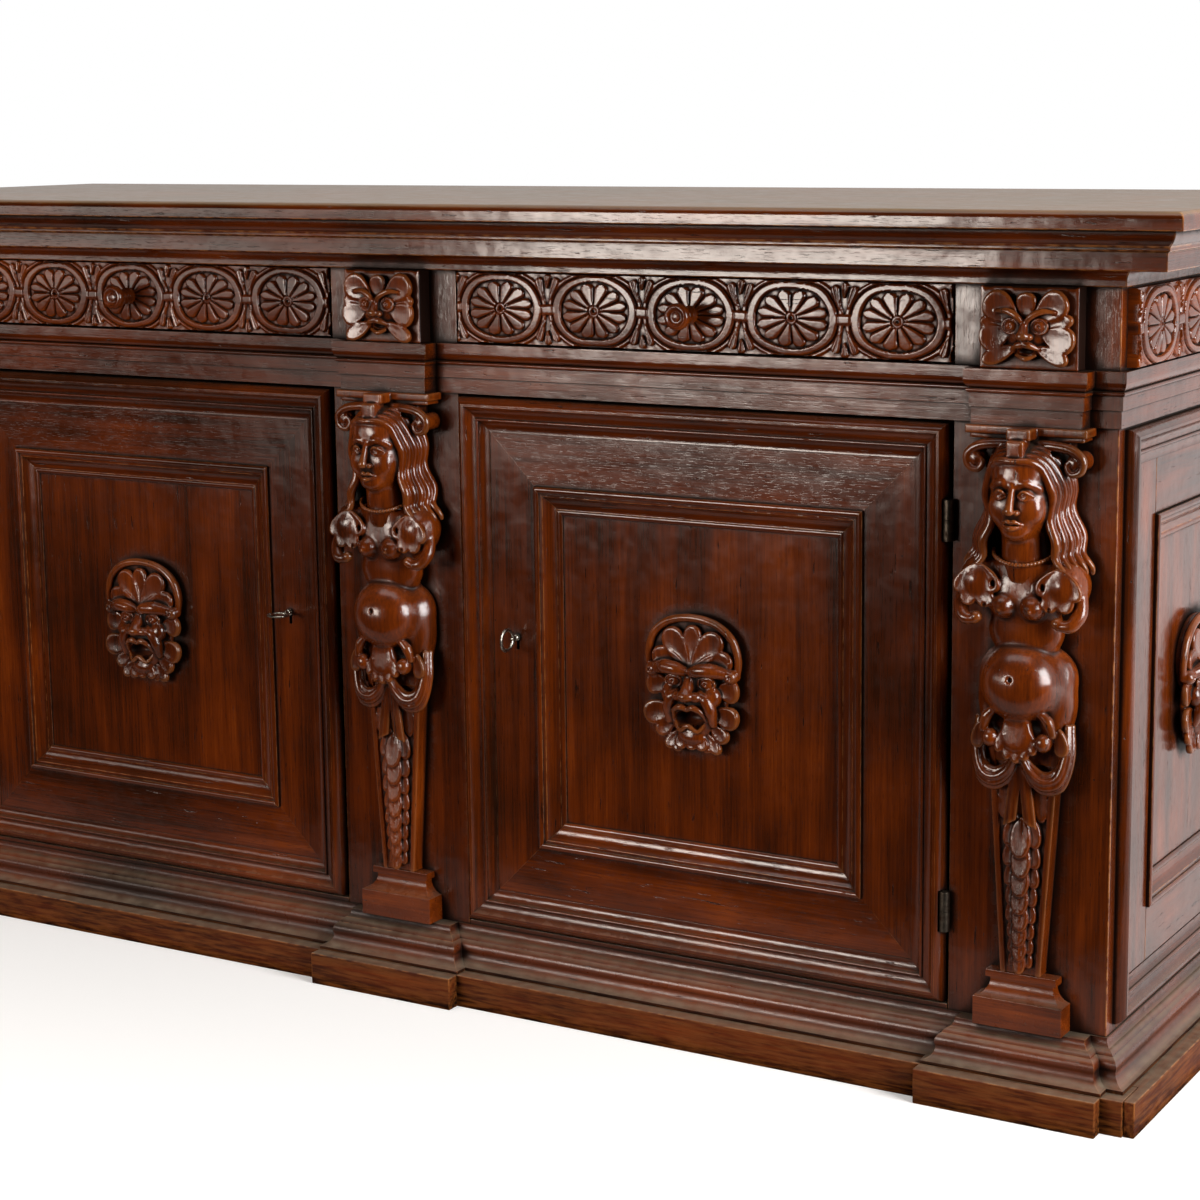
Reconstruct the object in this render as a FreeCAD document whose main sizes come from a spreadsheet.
import FreeCAD, Part
import os
import re

import Sketcher

# Carved walnut credenza with two doors under two drawers, divided by three caryatid pilasters.
# Millimetres. +X runs to the right along the front, +Y to the back, +Z up; the origin is on the
# floor under the middle of the whole piece. Left and right are as seen from the front.

SIZES = {
    # carcass and its levels, from the floor upwards
    "carcass_width": 1784,
    "carcass_depth": 550,
    "plinth_rise": 39,
    "base_rise": 54,
    "door_zone": 636,
    "waist_rise": 58,
    "frieze_rise": 84,
    "cornice_rise": 60,
    "top_thick": 19,
    "top_overhang": 91,
    "top_back_overhang": 25,
    "top_nose_radius": 8,
    # posts, rails and boards of the carcass
    "post_width": 180,
    "post_thick": 30,
    "rear_post_width": 60,
    "rear_post_thick": 30,
    "side_thick": 26,
    "back_thick": 15,
    "back_planks": 7,
    "floor_thick": 20,
    "dust_thick": 15,
    "dust_drop": 20,
    "partition_thick": 20,
    "shelf_thick": 18,
    "shelf_setback": 40,
    "shelf_level": 300,
    # plinth
    "plinth_out": 48,
    "plinth_lap": 12,
    "plinth_setback": 3,
    "block_forward": 17,
    "block_half": 72,
    # base moulding, measured from the post face and the plinth top
    "base_out": 30,
    "base_fillet_top": 4,
    "base_cove_out": 17,
    "base_cove_top": 18.5,
    "base_ovolo_out": 12,
    "base_ovolo_top": 32.5,
    "base_bead_out": 5.4,
    "base_bead_top": 38,
    "base_neck_out": 1.5,
    "base_neck_top": 48,
    # waist moulding between doors and drawers
    "waist_forward": 22,
    "waist_half": 57,
    "waist_low_out": 3.3,
    "waist_low_top": 18.5,
    "waist_mid_out": 5.2,
    "waist_mid_top": 33,
    "waist_bead_top": 38,
    "waist_cap_out": 10,
    "waist_ovolo_top": 47,
    # cornice under the top
    "bed_out": 7,
    "bed_fillet_top": 6,
    "bed_cove_out": 22,
    "bed_cove_top": 20,
    "corona_out": 69,
    "corona_top": 39.5,
    "crown_low_out": 72,
    "crown_fillet_top": 44.5,
    "crown_out": 80,
    "crown_top": 58,
    # doors
    "door_gap": 3,
    "frame_width": 100,
    "frame_thick": 26,
    "panel_recess": 8,
    "panel_thick": 14,
    # rim moulding round each door and side
    "rim_width": 40,
    "rim_edge": 3,
    "rim_ridge_near": 8,
    "rim_ridge_far": 11,
    "rim_height": 13,
    "rim_slope_end": 24,
    "rim_bead_height": 6,
    "rim_bead_end": 28,
    "rim_cove_height": 4.5,
    "rim_lip": 0.8,
    # moulding round each panel, measured from the panel face
    "inner_width": 33,
    "inner_shoulder": 11.5,
    "inner_bead_end": 7,
    "inner_step": 10,
    "inner_flat_end": 11,
    "inner_cove_end": 26,
    "inner_cove_height": 2.6,
    "inner_lip": 1.2,
    # carved masks
    "mask_half_width": 60,
    "mask_half_height": 77,
    "mask_depth": 28,
    "mask_lift": 5,
    "plaque_half": 53,
    "plaque_mask_half": 44,
    "plaque_mask_rise": 38,
    "plaque_mask_depth": 18,
    # caryatid pilasters
    "pedestal_half": 34,
    "pedestal_forward": 11,
    "pedestal_out": 16,
    "pedestal_foot_top": 31,
    "pedestal_neck_out": 2,
    "pedestal_neck_top": 51,
    "pedestal_cap_out": 6,
    "pedestal_rise": 59,
    "abacus_half": 66,
    "abacus_depth": 30,
    "abacus_rise": 13,
    "volute_radius": 11,
    "volute_reach": 52,
    # side panels
    "side_inset": 18,
    # rosette friezes of drawers and sides
    "rosette_pitch": 124,
    "rosette_half_width": 52,
    "rosette_half_height": 36,
    "rosette_band": 8,
    "rosette_height": 5,
    "rosette_hub": 9,
    "drawer_rosettes": 5,
    "side_rosettes": 4,
    "side_frieze_thick": 5,
    # drawers
    "drawer_gap": 2,
    "drawer_front_thick": 22,
    "drawer_back_room": 38,
    "drawer_length": "=carcass_depth - rear_post_thick - drawer_front_thick - drawer_back_room",
    "drawer_side_thick": 12,
    "drawer_side_rise": 62,
    "drawer_side_inset": 8,
    "drawer_bottom_thick": 8,
    "drawer_bottom_lift": 4,
    "runner_width": 20,
    "runner_clearance": 0.3,
    "knob_radius": 15,
    "knob_collar": 10.5,
    "knob_collar_rise": 4,
    "knob_neck": 6.5,
    "knob_cove_top": 7,
    "knob_neck_top": 18,
    "knob_lip": 26,
    "knob_rise": 33,
    "knob_dish": 13,
    "knob_hollow": 4,
    "knob_boss": 3.5,
    # hinges
    "hinge_low": 106,
    "hinge_high": 531,
    "hinge_height": 44,
    "hinge_standoff": 1.5,
    "hinge_split": 0.3,
    "knuckle_radius": 5.5,
    "pin_radius": 2.5,
    "pin_clearance": 0.05,
    "leaf_thick": 1.2,
    "leaf_depth": 24,
    "notch_clearance": 0.8,
    # locks and keys
    "key_inset": 73.5,
    "key_level": 354,
    "keyhole_radius": 3.6,
    "keyhole_slot_width": 4,
    "keyhole_slot_drop": 15,
    "shank_radius": 3,
    "shank_out": 11,
    "shank_in": 11,
    "bow_radius": 12.3,
    "bow_wire_radius": 2.2,
    "bit_width": 2.4,
    "bit_drop": 13,
    "bit_length": 7,
    "lock_margin": 4,
    "lock_width": 92,
    "lock_half_rise": 38,
    "lock_depth": 17,
    "lock_wall": 2,
    "bolt_lift": 20,
    "bolt_rise": 12,
    "bolt_thick": 6,
    "bolt_length": 60,
    "bolt_gap": 5,
    "bolt_clearance": 0.3,
}

# Levels and planes in words of the sheet. Depths are counted from the front face of the posts.
DOOR_LOW = "(plinth_rise + base_rise)"
DOOR_HIGH = f"({DOOR_LOW} + door_zone)"
FRIEZE_LOW = f"({DOOR_HIGH} + waist_rise)"
FRIEZE_HIGH = f"({FRIEZE_LOW} + frieze_rise)"
TOP_LOW = f"({FRIEZE_HIGH} + cornice_rise)"
FRONT = "((top_overhang - carcass_depth - top_back_overhang) / 2)"
FLANK = "(carcass_width / 2)"
BAY_IN = "(post_width / 2)"
BAY_OUT = f"({FLANK} - post_width)"
BAY_MIDDLE = f"(({BAY_IN} + {BAY_OUT}) / 2)"
BACK_PLANE = "(carcass_depth - rear_post_thick)"
DOOR_HALF = f"(({BAY_OUT} - {BAY_IN}) / 2 - door_gap)"
DOOR_HALF_RISE = "(door_zone / 2 - door_gap)"
DOOR_MIDDLE = f"({DOOR_LOW} + door_zone / 2)"
HINGE_ACROSS = f"({BAY_OUT} - door_gap / 2)"
HINGE_DEPTH = "-(knuckle_radius + hinge_standoff)"
KEY_ACROSS = f"({BAY_IN} + door_gap + key_inset)"
KEY_UP = f"({DOOR_LOW} + key_level)"
DRAWER_LOW = f"({FRIEZE_LOW} + drawer_gap)"
SIDES = {"left": -1, "right": 1}
ORIGIN = FreeCAD.Vector(0, 0, 0)
X = FreeCAD.Vector(1, 0, 0)
Y = FreeCAD.Vector(0, 1, 0)
Z = FreeCAD.Vector(0, 0, 1)
# The left key is left turned with its ring level, the right one with its ring upright.
BOW_PLANES = {
    "left": (X, Y),
    "right": (Y, Z),
}
PILASTERS = {
    "left": f"-({FLANK} - post_width / 2)",
    "centre": "0",
    "right": f"({FLANK} - post_width / 2)",
}

# Moulding profiles: (out from the wall, up) with, where the stretch to the point is an arc, its
# height as a share of its chord; a plus swells outwards and a minus hollows.
QUARTER_ROUND = 0.207
SOFT_ROUND = 0.12
HALF_ROUND = 0.5
BASE = [
    ("base_out", "0"),
    ("base_out", "base_fillet_top"),
    ("base_cove_out", "base_cove_top", -QUARTER_ROUND),
    ("base_ovolo_out", "base_ovolo_top", QUARTER_ROUND),
    ("base_bead_out", "base_bead_top", SOFT_ROUND),
    ("base_neck_out", "base_neck_top", -SOFT_ROUND),
]
WAIST = [
    ("waist_low_out", "0"),
    ("waist_low_out", "waist_low_top"),
    ("waist_mid_out", "waist_low_top"),
    ("waist_mid_out", "waist_mid_top"),
    ("waist_mid_out", "waist_bead_top", HALF_ROUND),
    ("waist_cap_out", "waist_ovolo_top", SOFT_ROUND),
    ("waist_cap_out", "waist_rise"),
]
CORNICE = [
    ("bed_out", "0"),
    ("bed_out", "bed_fillet_top"),
    ("bed_cove_out", "bed_cove_top", -QUARTER_ROUND),
    ("corona_out", "bed_cove_top"),
    ("corona_out", "corona_top"),
    ("crown_low_out", "corona_top"),
    ("crown_low_out", "crown_fillet_top"),
    ("crown_out", "crown_top", SOFT_ROUND),
    ("crown_out", "cornice_rise"),
]
PEDESTAL = [
    ("pedestal_out", "0"),
    ("pedestal_out", "pedestal_foot_top"),
    ("pedestal_neck_out", "pedestal_neck_top", -QUARTER_ROUND),
    ("pedestal_cap_out", "pedestal_neck_top"),
    ("pedestal_cap_out", "pedestal_rise"),
]
# Frame mouldings: (in from the outer edge, out from the face).
RIM = [
    ("0", "0"),
    ("0", "rim_edge"),
    ("rim_ridge_near", "rim_height", SOFT_ROUND),
    ("rim_ridge_far", "rim_height"),
    ("rim_slope_end", "rim_bead_height", -SOFT_ROUND),
    ("rim_bead_end", "rim_bead_height", HALF_ROUND),
    ("rim_bead_end", "rim_cove_height"),
    ("rim_width", "rim_lip", -SOFT_ROUND),
    ("rim_width", "0"),
]
INNER = [
    ("0", "0"),
    ("0", "inner_shoulder"),
    ("inner_bead_end", "inner_shoulder", QUARTER_ROUND),
    ("inner_bead_end", "inner_step"),
    ("inner_flat_end", "inner_step"),
    ("inner_cove_end", "inner_cove_height", -SOFT_ROUND),
    ("inner_width", "inner_lip", QUARTER_ROUND),
    ("inner_width", "0"),
]
FRAME = [("0", "0"), ("0", "frame_thick"), ("frame_width", "frame_thick"), ("frame_width", "0")]
# Turned knob: (radius, out from the drawer face).
KNOB = [
    ("0", "0"),
    ("knob_collar", "0"),
    ("knob_collar", "knob_collar_rise"),
    ("knob_neck", "knob_cove_top", -QUARTER_ROUND),
    ("knob_neck", "knob_neck_top"),
    ("knob_radius", "knob_lip", -SOFT_ROUND),
    ("knob_dish", "knob_rise", SOFT_ROUND),
    ("knob_boss", "knob_rise - knob_hollow", -SOFT_ROUND),
    ("knob_boss", "knob_rise - knob_hollow / 2"),
    ("0", "knob_rise - knob_hollow / 2"),
]
# Carved figure: share of its height, half width and depth of each level, from the tapering
# shaft over drapery, belly, waist, breast and shoulders to the neck and head.
FIGURE = [
    (0.00, 23, 17),
    (0.32, 37, 20),
    (0.38, 51, 32),
    (0.50, 53, 44),
    (0.58, 55, 50),
    (0.645, 45, 38),
    (0.70, 53, 44),
    (0.755, 60, 36),
    (0.80, 30, 34),
    (0.825, 23, 36),
    (0.88, 33, 54),
    (0.95, 33, 56),
    (1.00, 30, 40),
]

doc = FreeCAD.newDocument("credenza")
sheet = doc.addObject("Spreadsheet::Sheet", "Sheet")
for row, (alias, value) in enumerate(SIZES.items(), start=1):
    sheet.set(f"A{row}", alias)
    sheet.set(f"B{row}", str(value))
    sheet.setAlias(f"B{row}", alias)
doc.recompute()

nodes = {}
pockets = []


def bound(words):
    """Turns the sheet's words in an expression into references to their cells."""
    return re.sub(r"[a-z]\w*", lambda word: "Sheet." + word.group(0), words)


def size(words):
    """Works out an expression in words of the sheet."""
    return float(sheet.evalExpression(bound(words)))


def keep(label, *pieces):
    """Files a sub-part under its label: one object, or several separate solids together."""
    if len(pieces) == 1:
        item = pieces[0]
    else:
        item = doc.addObject("Part::Compound", label)
        item.Links = list(pieces)
    item.Label = label
    nodes[label] = item


def place(item, x, depth, z):
    """Binds an object's place: across, back from the post face, and up."""
    item.setExpression("Placement.Base.x", bound(x))
    item.setExpression("Placement.Base.y", bound(f"{FRONT} + {depth}"))
    item.setExpression("Placement.Base.z", bound(z))


def turn(item, x_axis, y_axis):
    """Turns an object so that its own X and Y lie along the given directions."""
    rotation = FreeCAD.Rotation(x_axis, y_axis, x_axis.cross(y_axis), "XYZ")
    item.Placement = FreeCAD.Placement(ORIGIN, rotation)


def board(name, x, depth, z):
    """A plain board between pairs of places across, back and up."""
    box = doc.addObject("Part::Box", name)
    for length, (low, high) in (("Length", x), ("Width", depth), ("Height", z)):
        box.setExpression(length, bound(f"({high}) - ({low})"))
    place(box, x[0], f"({depth[0]})", z[0])
    return box


def handed(sign, low, high):
    """A pair of places across on the right of the middle, or mirrored to the left."""
    return (low, high) if sign > 0 else (f"-({high})", f"-({low})")


def rod(name, radius, length):
    """A cylinder bound to a radius and a length, standing along its own Z."""
    item = doc.addObject("Part::Cylinder", name)
    item.setExpression("Radius", bound(radius))
    item.setExpression("Height", bound(length))
    return item


def fuse(name, *pieces):
    item = doc.addObject("Part::MultiFuse", name)
    item.Shapes = list(pieces)
    return item


def cut(name, base, *tools):
    """The base with one or more tools taken away."""
    item = doc.addObject("Part::Cut", name)
    item.Base = base
    item.Tool = tools[0] if len(tools) == 1 else fuse(f"{name}_tools", *tools)
    return item


def sketch_on(body, name, role):
    """A sketch on one of the body's own origin planes."""
    plane = next(item for item in body.Origin.OriginFeatures if item.Role == role)
    sketch = body.newObject("Sketcher::SketchObject", name)
    sketch.AttachmentSupport = (plane, [""])
    sketch.MapMode = "FlatFace"
    return sketch


def draw(sketch, points):
    """Draws a closed outline of lines and arcs, with every corner bound to the sheet."""
    corners = [FreeCAD.Vector(size(p[0]), size(p[1]), 0) for p in points]
    count = len(corners)
    area = sum(corners[i - 1].x * corners[i].y - corners[i].x * corners[i - 1].y for i in range(count))
    outwards = 1 if area > 0 else -1
    ends = []
    for i, (_, _, *bow) in enumerate(points):
        start, stop = corners[i - 1], corners[i]
        if bow:
            chord = stop - start
            side = FreeCAD.Vector(chord.y, -chord.x, 0) * outwards
            middle = (start + stop) * 0.5 + side * bow[0]
            line = sketch.addGeometry(Part.Arc(start, middle, stop), False)
        else:
            line = sketch.addGeometry(Part.LineSegment(start, stop), False)
        forward = (sketch.getPoint(line, 1) - start).Length < (sketch.getPoint(line, 2) - start).Length
        ends.append((line, 1, 2) if forward else (line, 2, 1))
    for i in range(count):
        line, _, last = ends[i]
        following, first, _ = ends[(i + 1) % count]
        sketch.addConstraint(Sketcher.Constraint("Coincident", line, last, following, first))
        for kind, words, value, axis in (
            ("DistanceX", points[i][0], corners[i].x, -2),
            ("DistanceY", points[i][1], corners[i].y, -1),
        ):
            if value == 0:
                sketch.addConstraint(Sketcher.Constraint("PointOnObject", line, last, axis))
                continue
            ends_of = (-1, 1, line, last) if value > 0 else (line, last, -1, 1)
            index = sketch.addConstraint(Sketcher.Constraint(kind, *ends_of, abs(value)))
            sign = "" if value > 0 else "-"
            sketch.setExpression(f"Constraints[{index}]", bound(f"{sign}({words})"))


def prism(name, outlines, length, both_ways=True):
    """A body with closed outlines on its XY plane, padded along its Z."""
    body = doc.addObject("PartDesign::Body", name)
    profile = sketch_on(body, f"{name}_profile", "XY_Plane")
    for points in outlines:
        draw(profile, points)
    pad = body.newObject("PartDesign::Pad", f"{name}_pad")
    pad.Profile = profile
    pad.SideType = "Symmetric" if both_ways else "One side"
    pad.setExpression("Length", bound(length))
    return body, pad


def mitre(name, body, pad, wedges):
    """Takes wedges, drawn across and along the run, off the ends of a padded moulding."""
    plan = sketch_on(body, f"{name}_mitres", "XZ_Plane")
    for points in wedges:
        draw(plan, points)
    pocket = body.newObject("PartDesign::Pocket", f"{name}_ends")
    pocket.Profile = plan
    pocket.Type = "ThroughAll"
    pocket.SideType = "Symmetric"
    pockets.append((pocket, pad))


def on_wall(profile):
    """Closes a wall moulding's profile back to the wall."""
    return [("0", profile[0][1]), *profile, ("0", profile[-1][1])]


def front_run(name, profile, reach, low):
    """A moulding along the whole front, mitred outwards at both corners."""
    body, pad = prism(name, [on_wall(profile)], f"2 * ({FLANK} + {reach})")
    far = f"({FLANK} + {reach})"
    wedges = [[("0", f"{s}{FLANK}"), ("0", f"{s}{far}"), (reach, f"{s}{far}")] for s in ("", "-")]
    mitre(name, body, pad, wedges)
    turn(body, -Y, Z)
    place(body, "0", "0", low)
    return body


def side_run(name, profile, reach, low, sign):
    """A moulding along one side, mitred at the front corner and square at the back."""
    body, pad = prism(name, [on_wall(profile)], f"carcass_depth + {reach}")
    s = "" if sign > 0 else "-"
    near = f"{s}((carcass_depth - {reach}) / 2)"
    far = f"{s}((carcass_depth + {reach}) / 2)"
    mitre(name, body, pad, [[("0", near), ("0", far), (reach, far)]])
    turn(body, X * sign, Z)
    place(body, f"{sign} * {FLANK}", f"(carcass_depth - {reach}) / 2", low)
    return body


def break_front(name, profile, half, forward, reach, centre, low):
    """A block that carries a moulding's profile round its front and both of its ends."""
    face = [(f"{forward} + {p[0]}", *p[1:]) for p in profile]
    front, _ = prism(f"{name}_front", [on_wall(face)], f"2 * ({half} + {reach})")
    turn(front, -Y, Z)
    rising = [(f"{half} + {p[0]}", *p[1:]) for p in profile]
    falling = []
    for i, p in reversed(list(enumerate(profile))):
        arriving = profile[i + 1][2:] if i + 1 < len(profile) else ()
        falling.append((f"-({half} + {p[0]})", p[1], *arriving))
    ends, _ = prism(f"{name}_ends", [rising + falling], f"{forward} + {reach}", both_ways=False)
    turn(ends, X, Z)
    for body in (front, ends):
        place(body, centre, "0", low)
    block = doc.addObject("Part::Common", name)
    block.Base = front
    block.Tool = ends
    return block


def picture_frame(name, profile, width, centre, halves, across, outwards):
    """Four mitred lengths of moulding round a rectangle, by the edge each one lies on."""
    half_across, half_up = halves
    x, depth, z = centre
    edges = {
        "top": (-Z, half_across, "0", half_up),
        "bottom": (Z, half_across, "0", f"-{half_up}"),
        "low": (across, half_up, f"-{half_across}", "0"),
        "high": (-across, half_up, half_across, "0"),
    }
    lengths = {}
    for edge, (inwards, half_length, along, up) in edges.items():
        label = f"{name}_{edge}"
        body, pad = prism(label, [profile], f"2 * {half_length}")
        wedges = []
        for s in ("", "-"):
            end = f"{s}{half_length}"
            inner = f"{s}({half_length} - {width})"
            wedges.append([("0", end), (width, end), (width, inner)])
        mitre(label, body, pad, wedges)
        turn(body, inwards, outwards)
        place(
            body,
            f"{x} + {along}" if across.x else x,
            f"{depth} + {along}" if across.y else depth,
            f"{z} + {up}",
        )
        lengths[edge] = body
    return lengths


def dome(name, half_width, half_rise, depth, outwards):
    """Half an ellipsoid that stands on a wall and bulges away from it."""
    item = doc.addObject("Part::Ellipsoid", name)
    item.setExpression("Radius1", bound(half_rise))
    item.setExpression("Radius2", bound(half_width))
    item.setExpression("Radius3", bound(depth))
    item.Angle3 = 180
    turn(item, outwards.cross(Z), outwards)
    return item


def rosette_board(name, half, half_rise, thick, count, pitch):
    """A frieze board with a row of raised oval rings, each round a hub, that stops at the board's ends."""
    outline = [
        (f"-{half}", f"-{half_rise}"),
        (half, f"-{half_rise}"),
        (half, half_rise),
        (f"-{half}", half_rise),
    ]
    body, pad = prism(f"{name}_carving", [outline], f"2 * {thick}")
    first = f"-(({count} - 1) * {pitch} / 2)"
    rings = sketch_on(body, f"{name}_rosette", "XY_Plane")
    middle = FreeCAD.Vector(size(first), 0, 0)
    for inset in (0, size("rosette_band")):
        major = size("rosette_half_width") - inset
        minor = size("rosette_half_height") - inset
        oval = Part.Ellipse(middle + X * major, middle + Y * minor, middle)
        rings.addGeometry(oval, False)
    hub = rings.addGeometry(Part.Circle(middle, Z, size("rosette_hub")), False)
    radius = rings.addConstraint(Sketcher.Constraint("Radius", hub, size("rosette_hub")))
    rings.setExpression(f"Constraints[{radius}]", bound("rosette_hub"))
    raised = body.newObject("PartDesign::Pad", f"{name}_relief")
    raised.Profile = rings
    raised.setExpression("Length", bound(f"{thick} + rosette_height"))
    doc.recompute()
    row = body.newObject("PartDesign::LinearPattern", f"{name}_row")
    row.Originals = [raised]
    row.Direction = (rings, ["H_Axis"])
    row.setExpression("Length", bound(f"({count} - 1) * {pitch}"))
    row.setExpression("Occurrences", bound(count))
    body.Tip = row
    limits, _ = prism(f"{name}_limits", [outline], f"2 * ({thick} + rosette_height)")
    trimmed = doc.addObject("Part::Common", name)
    trimmed.Base = body
    trimmed.Tool = limits
    return trimmed


def make_posts_and_rails():
    for name, centre in PILASTERS.items():
        across = (f"{centre} - post_width / 2", f"{centre} + post_width / 2")
        keep(f"{name}_post", board(f"{name}_post", across, ("0", "post_thick"), ("0", TOP_LOW)))
    rear = []
    rails = []
    for side, sign in SIDES.items():
        across = handed(sign, f"{FLANK} - rear_post_width", FLANK)
        rear.append(board(f"{side}_rear_post", across, (BACK_PLANE, "carcass_depth"), ("0", TOP_LOW)))
        bay = handed(sign, BAY_IN, BAY_OUT)
        for rail, level in (
            ("bottom_rail", ("plinth_rise", DOOR_LOW)),
            ("waist_rail", (DOOR_HIGH, FRIEZE_LOW)),
            ("top_rail", (FRIEZE_HIGH, TOP_LOW)),
        ):
            rails.append(board(f"{side}_{rail}", bay, ("0", "post_thick"), level))
    keep("rear_posts", *rear)
    keep("front_rails", *rails)


def make_inner_boards():
    inside = (f"-({FLANK} - side_thick)", f"{FLANK} - side_thick")
    behind = ("post_thick", BACK_PLANE)
    floor = (f"{DOOR_LOW} - floor_thick", DOOR_LOW)
    keep("bottom_board", board("bottom_board", inside, behind, floor))
    dust_top = f"({FRIEZE_LOW} - dust_drop)"
    dust = (f"{dust_top} - dust_thick", dust_top)
    keep("dust_board", board("dust_board", inside, behind, dust))
    middle = ("-partition_thick / 2", "partition_thick / 2")
    keep("centre_partition", board("centre_partition", middle, behind, (DOOR_LOW, dust[0])))
    shelves = []
    runners = []
    for side, sign in SIDES.items():
        bay = handed(sign, "partition_thick / 2", f"{FLANK} - side_thick")
        level = (f"{DOOR_LOW} + shelf_level", f"{DOOR_LOW} + shelf_level + shelf_thick")
        shelves.append(board(f"{side}_shelf", bay, ("post_thick + shelf_setback", BACK_PLANE), level))
        edge = "drawer_gap + drawer_side_inset - (runner_width - drawer_side_thick) / 2"
        for run, near in (("inner", f"{BAY_IN} + {edge}"), ("outer", f"{BAY_OUT} - {edge} - runner_width")):
            across = handed(sign, near, f"{near} + runner_width")
            height = (dust_top, f"{DRAWER_LOW} - runner_clearance")
            runners.append(board(f"{side}_{run}_runner", across, behind, height))
    keep("shelves", *shelves)
    keep("drawer_runners", *runners)
    span = f"(2 * ({FLANK} - rear_post_width))"
    planks = []
    for i in range(int(size("back_planks"))):
        left = f"{span} * {i} / back_planks - {span} / 2"
        right = f"{span} * {i + 1} / back_planks - {span} / 2"
        depth = (BACK_PLANE, f"{BACK_PLANE} + back_thick")
        planks.append(board(f"back_plank_{i}", (left, right), depth, ("plinth_rise", TOP_LOW)))
    keep("back_planks", *planks)


def make_plinth_and_base():
    level = ("0", "plinth_rise")
    end = f"({FLANK} + plinth_out - plinth_lap)"
    boards = [board("front_plinth", (f"-{end}", end), ("-plinth_out", "0"), level)]
    for side, sign in SIDES.items():
        whole = handed(sign, FLANK, f"{FLANK} + plinth_out")
        depth = ("plinth_setback - plinth_out", "carcass_depth")
        plank = board(f"{side}_plinth_plank", whole, depth, level)
        lap = board(f"{side}_plinth_lap", handed(sign, FLANK, end), ("-plinth_out", "0"), level)
        boards.append(cut(f"{side}_plinth", plank, lap))
    keep("plinth_boards", *boards)
    half = "(block_half + base_out)"
    blocks = []
    breaks = []
    for name, centre in PILASTERS.items():
        across = (f"{centre} - {half}", f"{centre} + {half}")
        depth = ("-plinth_out - block_forward", "-plinth_out")
        blocks.append(board(f"{name}_plinth_block", across, depth, level))
        breaks.append(
            break_front(
                f"{name}_base_break", BASE, "block_half", "block_forward", "base_out", centre, "plinth_rise"
            )
        )
    keep("plinth_blocks", *blocks)
    keep("base_blocks", *breaks)
    run = front_run("front_base_run", BASE, "base_out", "plinth_rise")
    lengths = [cut("front_base_moulding", run, *breaks)]
    for side, sign in SIDES.items():
        run = side_run(f"{side}_base_run", BASE, "base_out", "plinth_rise", sign)
        outer_block = breaks[list(PILASTERS).index(side)]
        lengths.append(cut(f"{side}_base_moulding", run, outer_block))
    keep("base_moulding", *lengths)


def make_waist_and_friezes():
    breaks = []
    for name, centre in PILASTERS.items():
        breaks.append(
            break_front(
                f"{name}_waist_break",
                WAIST,
                "waist_half",
                "waist_forward",
                "waist_cap_out",
                centre,
                DOOR_HIGH,
            )
        )
        across = (f"{centre} - plaque_half", f"{centre} + plaque_half")
        plaque = board(f"{name}_plaque", across, ("-waist_forward", "0"), (FRIEZE_LOW, FRIEZE_HIGH))
        face = dome(f"{name}_plaque_dome", "plaque_mask_half", "plaque_mask_rise", "plaque_mask_depth", -Y)
        place(face, centre, "-waist_forward", f"{FRIEZE_LOW} + frieze_rise / 2")
        keep(f"{name}_frieze_mask", fuse(f"{name}_frieze_mask", plaque, face))
    keep("waist_blocks", *breaks)
    run = front_run("front_waist_run", WAIST, "waist_cap_out", DOOR_HIGH)
    lengths = [cut("front_waist_moulding", run, *breaks)]
    boards = []
    half = "(carcass_depth / 2 - side_inset)"
    half_rise = "(frieze_rise / 2 - drawer_gap)"
    pitch = f"((2 * {half}) / side_rosettes)"
    for side, sign in SIDES.items():
        lengths.append(side_run(f"{side}_waist_moulding", WAIST, "waist_cap_out", DOOR_HIGH, sign))
        frieze = rosette_board(
            f"{side}_side_frieze", half, half_rise, "side_frieze_thick", "side_rosettes", pitch
        )
        turn(frieze, Y * sign, Z)
        place(
            frieze,
            f"{sign} * ({FLANK} + side_frieze_thick)",
            "carcass_depth / 2",
            f"{FRIEZE_LOW} + frieze_rise / 2",
        )
        boards.append(frieze)
    keep("waist_moulding", *lengths)
    keep("side_friezes", *boards)


def make_cornice_and_top():
    lengths = [front_run("front_cornice", CORNICE, "crown_out", FRIEZE_HIGH)]
    for side, sign in SIDES.items():
        lengths.append(side_run(f"{side}_cornice", CORNICE, "crown_out", FRIEZE_HIGH, sign))
    keep("cornice", *lengths)
    half = f"({FLANK} + top_overhang)"
    near, far = "(-top_overhang)", "(carcass_depth + top_back_overhang)"
    outline = [(f"-{half}", near), (half, near), (half, far), (f"-{half}", far)]
    body, pad = prism("top_board", [outline], "top_thick", both_ways=False)
    doc.recompute()
    back = size(far)
    nosed = []
    for i, edge in enumerate(pad.Shape.Edges, start=1):
        box = edge.BoundBox
        if box.ZLength < 1 and box.ZMin > 1 and box.YMin < back - 1:
            nosed.append(f"Edge{i}")
    nose = body.newObject("PartDesign::Fillet", "top_nose")
    nose.Base = (pad, nosed)
    nose.setExpression("Radius", bound("top_nose_radius"))
    place(body, "0", "0", TOP_LOW)
    keep("top_board", body)


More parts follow.
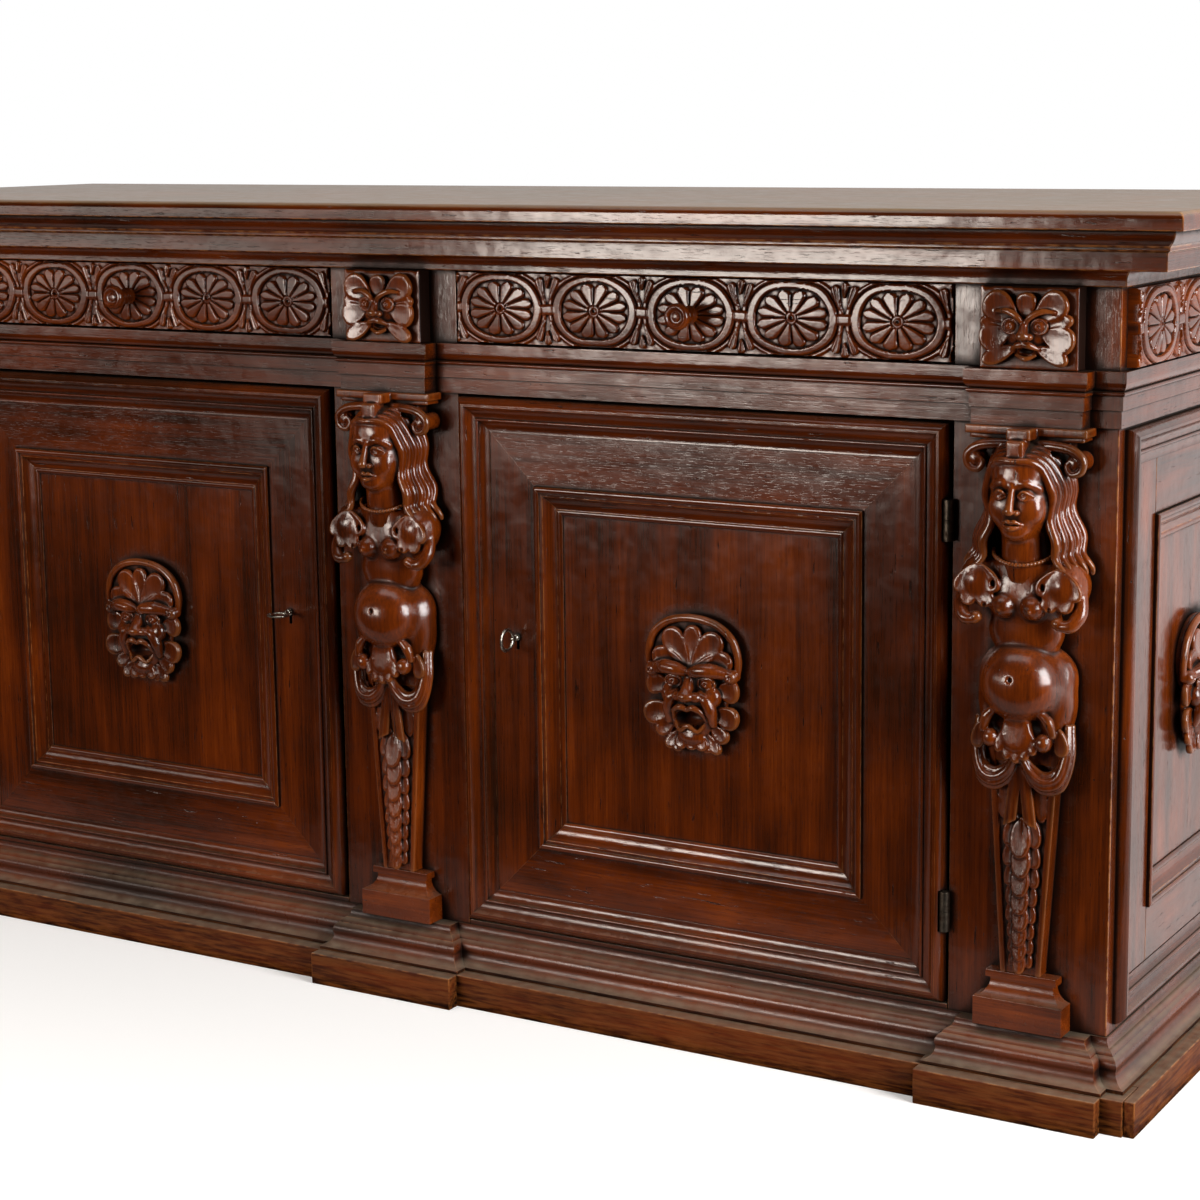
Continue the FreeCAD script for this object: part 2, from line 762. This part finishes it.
def make_sides():
    frames = []
    panels = []
    rims = []
    inners = []
    masks = []
    opening = ("side_inset + frame_width", "carcass_depth - side_inset - frame_width")
    low = f"({DOOR_LOW} + door_gap + frame_width)"
    high = f"({DOOR_HIGH} - door_gap - frame_width)"
    halves = ("(carcass_depth / 2 - side_inset)", DOOR_HALF_RISE)
    inner_halves = tuple(f"({half} - frame_width)" for half in halves)
    for side, sign in SIDES.items():
        thick = handed(sign, f"{FLANK} - side_thick", FLANK)
        full = ("plinth_rise", TOP_LOW)
        frames.append(board(f"{side}_front_stile", thick, ("post_thick", opening[0]), full))
        frames.append(board(f"{side}_rear_stile", thick, (opening[1], BACK_PLANE), full))
        frames.append(board(f"{side}_low_rail", thick, opening, ("plinth_rise", low)))
        frames.append(board(f"{side}_high_rail", thick, opening, (high, TOP_LOW)))
        face = f"({FLANK} - panel_recess)"
        sunk = handed(sign, f"{face} - panel_thick", face)
        panels.append(board(f"{side}_side_panel", sunk, opening, (low, high)))
        centre = (f"{sign} * {FLANK}", "carcass_depth / 2", DOOR_MIDDLE)
        rim = picture_frame(f"{side}_side_rim", RIM, "rim_width", centre, halves, Y, X * sign)
        rims.extend(rim.values())
        bed = (f"{sign} * {face}", *centre[1:])
        inner = picture_frame(f"{side}_side_inner", INNER, "inner_width", bed, inner_halves, Y, X * sign)
        inners.extend(inner.values())
        mask = dome(f"{side}_side_mask", "mask_half_width", "mask_half_height", "mask_depth", X * sign)
        place(mask, bed[0], bed[1], f"{DOOR_MIDDLE} + mask_lift")
        masks.append(mask)
    keep("side_frames", *frames)
    keep("side_panels", *panels)
    keep("side_rims", *rims)
    keep("side_panel_mouldings", *inners)
    keep("side_masks", *masks)


def make_figure_shape():
    """The plain carved body of a caryatid, lofted through its levels on the post face."""
    rise = size(f"{DOOR_HIGH} - plinth_rise - base_neck_top - pedestal_rise - abacus_rise")
    wires = []
    for share, half, depth in FIGURE:
        level = Z * (share * rise)
        left, right = X * -half + level, X * half + level
        front = Y * -depth + level
        shoulder = 0.74
        corners = [X * (s * half * shoulder) - Y * (depth * shoulder) + level for s in (-1, 1)]
        swell = Part.BSplineCurve()
        swell.interpolate([left, corners[0], front, corners[1], right])
        wires.append(Part.Wire([swell.toShape(), Part.LineSegment(right, left).toShape()]))
    return Part.makeLoft(wires, True, True)


def make_caryatids():
    shape = make_figure_shape()
    foot = "(plinth_rise + base_neck_top)"
    for name, centre in PILASTERS.items():
        pedestal = break_front(
            f"{name}_pedestal", PEDESTAL, "pedestal_half", "pedestal_forward", "pedestal_out", centre, foot
        )
        figure = doc.addObject("Part::Feature", f"{name}_figure")
        figure.Shape = shape
        place(figure, centre, "0", f"{foot} + pedestal_rise")
        across = (f"{centre} - abacus_half", f"{centre} + abacus_half")
        abacus_low = f"({DOOR_HIGH} - abacus_rise)"
        abacus = board(f"{name}_abacus", across, ("-abacus_depth", "0"), (abacus_low, DOOR_HIGH))
        volutes = []
        for side, sign in SIDES.items():
            volute = rod(f"{name}_{side}_volute", "volute_radius", "abacus_depth")
            turn(volute, X, Z)
            place(volute, f"{centre} + {sign} * volute_reach", "0", f"{abacus_low} - volute_radius / 2")
            volutes.append(volute)
        carving = fuse(f"{name}_carving", figure, abacus, *volutes)
        keep(f"{name}_caryatid", pedestal, carving)


def make_hinges(side, sign):
    """Leaves, knuckles and pins of both hinges of a door: (door pieces, post pieces, pins)."""
    edge = f"({BAY_OUT} - door_gap)"
    door_pieces = []
    post_pieces = []
    pins = []
    for height in ("low", "high"):
        label = f"{side}_{height}_hinge"
        middle = f"({DOOR_LOW} + hinge_{height})"
        half = "((hinge_height - hinge_split) / 2)"
        for owner, across, bottom, bore, pieces in (
            ("door", (edge, f"{edge} + leaf_thick"), f"{middle} + hinge_split / 2",
             "pin_radius + pin_clearance", door_pieces),
            ("post", (f"{BAY_OUT} - leaf_thick", BAY_OUT), f"{middle} - hinge_height / 2",
             "pin_radius", post_pieces),
        ):
            knuckle = rod(f"{label}_{owner}_knuckle", "knuckle_radius", half)
            hole = rod(f"{label}_{owner}_bore", bore, half)
            for item in (knuckle, hole):
                place(item, f"{sign} * {HINGE_ACROSS}", HINGE_DEPTH, bottom)
            depth = (HINGE_DEPTH, "leaf_depth")
            rise = (bottom, f"{bottom} + {half}")
            leaf = board(f"{label}_{owner}_plate", handed(sign, *across), depth, rise)
            pieces.append(cut(f"{label}_{owner}_leaf", fuse(f"{label}_{owner}_blank", knuckle, leaf), hole))
        pin = rod(f"{label}_pin", "pin_radius", "hinge_height")
        place(pin, f"{sign} * {HINGE_ACROSS}", HINGE_DEPTH, f"{middle} - hinge_height / 2")
        pins.append(pin)
    return door_pieces, post_pieces, pins


def make_lock(side, sign):
    """Box lock behind the free stile, its sliding bolt and the key that works it."""
    near = f"({BAY_IN} + door_gap + lock_margin)"
    across = handed(sign, near, f"{near} + lock_width")
    rise = (f"{KEY_UP} - lock_half_rise", f"{KEY_UP} + lock_half_rise")
    case = board(f"{side}_lock_blank", across, ("frame_thick", "frame_thick + lock_depth"), rise)
    hollow = board(
        f"{side}_lock_hollow",
        handed(sign, f"{near} + lock_wall", f"{near} + lock_width - lock_wall"),
        ("frame_thick", "frame_thick + lock_depth - lock_wall"),
        (f"{rise[0]} + lock_wall", f"{rise[1]} - lock_wall"),
    )
    tip = f"({near} - lock_margin / 2)"
    bolt_depth = ("frame_thick + bolt_gap", "frame_thick + bolt_gap + bolt_thick")
    bolt_rise = (f"{KEY_UP} + bolt_lift", f"{KEY_UP} + bolt_lift + bolt_rise")
    slot = board(
        f"{side}_lock_slot",
        handed(sign, f"{near} - lock_wall", f"{near} + 2 * lock_wall"),
        (f"{bolt_depth[0]} - bolt_clearance", f"{bolt_depth[1]} + bolt_clearance"),
        (f"{bolt_rise[0]} - bolt_clearance", f"{bolt_rise[1]} + bolt_clearance"),
    )
    keep(f"{side}_lock_case", cut(f"{side}_lock_case", case, hollow, slot))
    bolt = board(f"{side}_lock_bolt", handed(sign, tip, f"{tip} + bolt_length"), bolt_depth, bolt_rise)
    keep(f"{side}_lock_bolt", bolt)
    shank_end = "(frame_thick + shank_in)"
    shank = rod(f"{side}_key_shank", "shank_radius", f"shank_out + {shank_end}")
    turn(shank, X, Z)
    place(shank, f"{sign} * {KEY_ACROSS}", shank_end, KEY_UP)
    bow = doc.addObject("Part::Torus", f"{side}_key_bow")
    bow.setExpression("Radius1", bound("bow_radius"))
    bow.setExpression("Radius2", bound("bow_wire_radius"))
    turn(bow, *BOW_PLANES[side])
    place(bow, f"{sign} * {KEY_ACROSS}", "-(shank_out + bow_radius)", KEY_UP)
    bit_across = (f"{KEY_ACROSS} - bit_width / 2", f"{KEY_ACROSS} + bit_width / 2")
    bit_rise = (f"{KEY_UP} - shank_radius - bit_drop", KEY_UP)
    bit_depth = (f"{shank_end} - bit_length", shank_end)
    bit = board(f"{side}_key_bit", handed(sign, *bit_across), bit_depth, bit_rise)
    keep(f"{side}_key", fuse(f"{side}_key", shank, bow, bit))


def make_door(side, sign):
    """Mitred frame, sunk panel, rim, panel moulding, mask, lock and hinges of one door."""
    centre = (f"{sign} * {BAY_MIDDLE}", "frame_thick", DOOR_MIDDLE)
    halves = (DOOR_HALF, DOOR_HALF_RISE)
    inner_halves = tuple(f"({half} - frame_width)" for half in halves)
    frame = picture_frame(f"{side}_door_frame", FRAME, "frame_width", centre, halves, X, -Y)
    free, hung = ("low", "high") if sign > 0 else ("high", "low")
    hole = rod(f"{side}_keyhole", "keyhole_radius", "frame_thick")
    turn(hole, X, Z)
    place(hole, f"{sign} * {KEY_ACROSS}", "frame_thick", KEY_UP)
    slot_across = handed(
        sign, f"{KEY_ACROSS} - keyhole_slot_width / 2", f"{KEY_ACROSS} + keyhole_slot_width / 2"
    )
    slot = board(
        f"{side}_keyhole_slot", slot_across, ("0", "frame_thick"), (f"{KEY_UP} - keyhole_slot_drop", KEY_UP)
    )
    frame[free] = cut(f"{side}_door_lock_stile", frame[free], hole, slot)
    keep(f"{side}_door_frame", *frame.values())

    opening = handed(
        sign, f"{BAY_IN} + door_gap + frame_width", f"{BAY_OUT} - door_gap - frame_width"
    )
    rise = (f"{DOOR_LOW} + door_gap + frame_width", f"{DOOR_HIGH} - door_gap - frame_width")
    sunk = ("panel_recess", "panel_recess + panel_thick")
    keep(f"{side}_door_panel", board(f"{side}_door_panel", opening, sunk, rise))

    face = (centre[0], "0", centre[2])
    rim = picture_frame(f"{side}_door_rim", RIM, "rim_width", face, halves, X, -Y)
    notches = []
    for height in ("low", "high"):
        middle = f"({DOOR_LOW} + hinge_{height})"
        room = "(hinge_height / 2 + notch_clearance)"
        notches.append(
            board(
                f"{side}_{height}_notch",
                handed(sign, f"{HINGE_ACROSS} - knuckle_radius - notch_clearance", BAY_OUT),
                ("-rim_height - notch_clearance", "0"),
                (f"{middle} - {room}", f"{middle} + {room}"),
            )
        )
    rim[hung] = cut(f"{side}_door_hung_rim", rim[hung], *notches)
    keep(f"{side}_door_rim", *rim.values())

    bed = (centre[0], "panel_recess", centre[2])
    inner = picture_frame(f"{side}_door_inner", INNER, "inner_width", bed, inner_halves, X, -Y)
    keep(f"{side}_door_panel_moulding", *inner.values())
    mask = dome(f"{side}_door_mask", "mask_half_width", "mask_half_height", "mask_depth", -Y)
    place(mask, centre[0], "panel_recess", f"{DOOR_MIDDLE} + mask_lift")
    keep(f"{side}_door_mask", mask)
    make_lock(side, sign)


def make_doors():
    post_leaves = []
    pins = []
    for side, sign in SIDES.items():
        make_door(side, sign)
        door_leaves, leaves, own_pins = make_hinges(side, sign)
        keep(f"{side}_door_hinge_leaves", *door_leaves)
        post_leaves.extend(leaves)
        pins.extend(own_pins)
    keep("post_hinge_leaves", *post_leaves)
    keep("hinge_pins", *pins)


def make_knob(name):
    body = doc.addObject("PartDesign::Body", name)
    profile = sketch_on(body, f"{name}_profile", "XZ_Plane")
    draw(profile, KNOB)
    turned = body.newObject("PartDesign::Revolution", f"{name}_turned")
    turned.Profile = profile
    turned.ReferenceAxis = (profile, ["V_Axis"])
    turned.Angle = 360
    return body


def make_drawers():
    half = f"(({BAY_OUT} - {BAY_IN}) / 2 - drawer_gap)"
    half_rise = "(frieze_rise / 2 - drawer_gap)"
    middle_up = f"{FRIEZE_LOW} + frieze_rise / 2"
    for side, sign in SIDES.items():
        middle = f"{sign} * {BAY_MIDDLE}"
        front = rosette_board(
            f"{side}_drawer_front",
            half,
            half_rise,
            "(drawer_front_thick / 2)",
            "drawer_rosettes",
            "rosette_pitch",
        )
        turn(front, X, Z)
        place(front, middle, "drawer_front_thick / 2", middle_up)
        keep(f"{side}_drawer_front", front)

        near = f"({BAY_IN} + drawer_gap + drawer_side_inset)"
        far = f"({BAY_OUT} - drawer_gap - drawer_side_inset)"
        end = "(drawer_front_thick + drawer_length)"
        depth = ("drawer_front_thick", end)
        level = (DRAWER_LOW, f"{DRAWER_LOW} + drawer_side_rise")
        inside = handed(sign, f"{near} + drawer_side_thick", f"{far} - drawer_side_thick")
        near_wall = handed(sign, near, f"{near} + drawer_side_thick")
        far_wall = handed(sign, f"{far} - drawer_side_thick", far)
        walls = [
            board(f"{side}_drawer_near_wall", near_wall, depth, level),
            board(f"{side}_drawer_far_wall", far_wall, depth, level),
            board(f"{side}_drawer_back_wall", inside, (f"{end} - drawer_side_thick", end), level),
        ]
        keep(f"{side}_drawer_walls", *walls)
        floor_low = f"({DRAWER_LOW} + drawer_bottom_lift)"
        floor = (floor_low, f"{floor_low} + drawer_bottom_thick")
        inner_depth = ("drawer_front_thick", f"{end} - drawer_side_thick")
        keep(f"{side}_drawer_bottom", board(f"{side}_drawer_bottom", inside, inner_depth, floor))

        knob = make_knob(f"{side}_drawer_knob")
        turn(knob, X, Z)
        place(knob, middle, "-rosette_height", middle_up)
        keep(f"{side}_drawer_knob", knob)


def check_and_write():
    """Refuses a failed feature, an empty or broken solid, or a cut that took nothing away."""
    doc.recompute()
    for item in doc.Objects:
        if "Invalid" in item.State or "Error" in item.State:
            raise RuntimeError(f"{item.Name} failed: {item.State}")
    for pocket, pad in pockets:
        if pocket.Shape.Volume > pad.Shape.Volume - 1:
            raise RuntimeError(f"{pocket.Name} cut nothing")
    for label, item in nodes.items():
        if item.Shape.isNull() or not item.Shape.isValid():
            raise RuntimeError(f"{label} has no valid shape")
    os.makedirs("parts", exist_ok=True)
    for label, item in nodes.items():
        item.Shape.exportStep(f"parts/{label}.step")
    print(f"{len(nodes)} sub-parts written")


make_posts_and_rails()
make_inner_boards()
make_plinth_and_base()
make_waist_and_friezes()
make_cornice_and_top()
make_sides()
make_caryatids()
make_doors()
make_drawers()
check_and_write()
